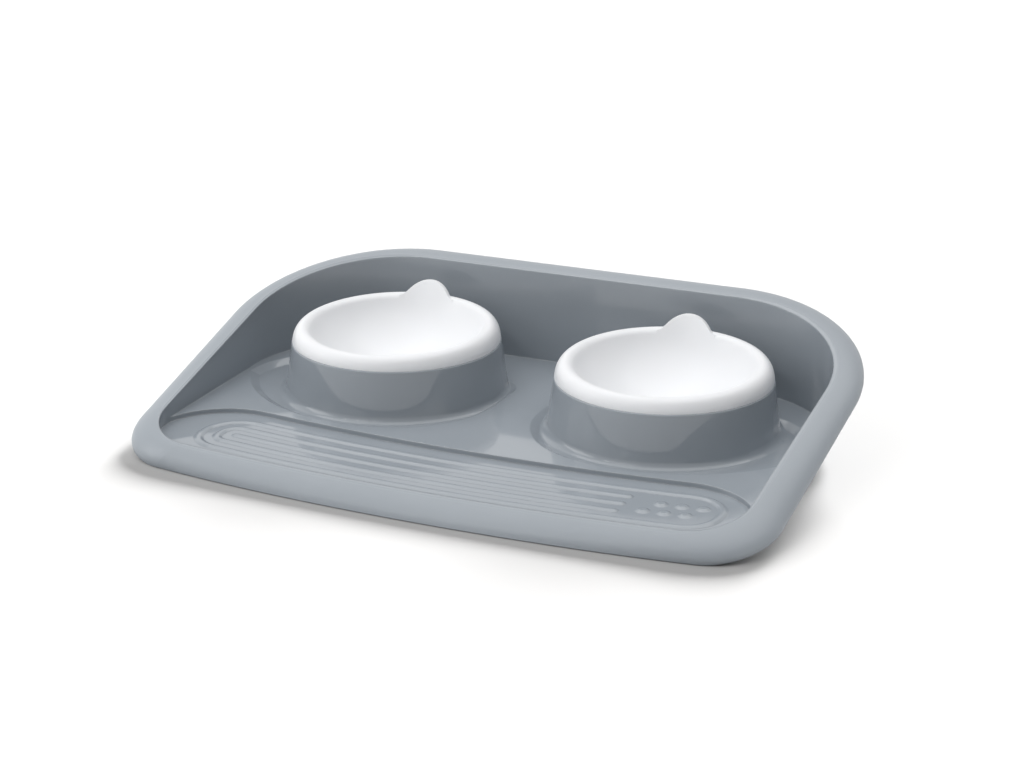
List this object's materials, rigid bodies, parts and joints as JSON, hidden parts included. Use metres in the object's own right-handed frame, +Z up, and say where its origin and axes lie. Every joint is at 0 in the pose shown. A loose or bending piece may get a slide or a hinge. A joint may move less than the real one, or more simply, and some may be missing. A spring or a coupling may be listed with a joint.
{
  "type": "double pet bowl",
  "caption": "Pet feeding tray with a sloping rolled rim, high back wall, raised round pedestals and a ribbed front channel, holding lift-out bowls with rear tabs.",
  "frame": {"origin": "centre of the bounding box on the ground plane under the feet", "axes": "+X to the right seen from the front, +Y towards the high back wall, +Z up"},
  "size_m": [0.4238, 0.2754, 0.076],
  "materials": {
    "tray_grey": "glossy light grey moulded plastic",
    "bowl_white": "satin white moulded plastic",
    "foot_rubber": "matt dark rubber"
  },
  "bodies": {
    "tray": {"feeding_tray": "tray_grey", "foot_front_left": "foot_rubber", "foot_front_right": "foot_rubber", "foot_back_left": "foot_rubber", "foot_back_right": "foot_rubber"},
    "bowl_left": {"left_bowl": "bowl_white"},
    "bowl_right": {"right_bowl": "bowl_white"}
  },
  "joints": [
    {"name": "left_bowl_lift", "type": "slide", "parent": "tray", "child": "bowl_left", "axis": [0, 0, 1], "range_m": [0, 0.08]},
    {"name": "right_bowl_lift", "type": "slide", "parent": "tray", "child": "bowl_right", "axis": [0, 0, 1], "range_m": [0, 0.08]}
  ]
}
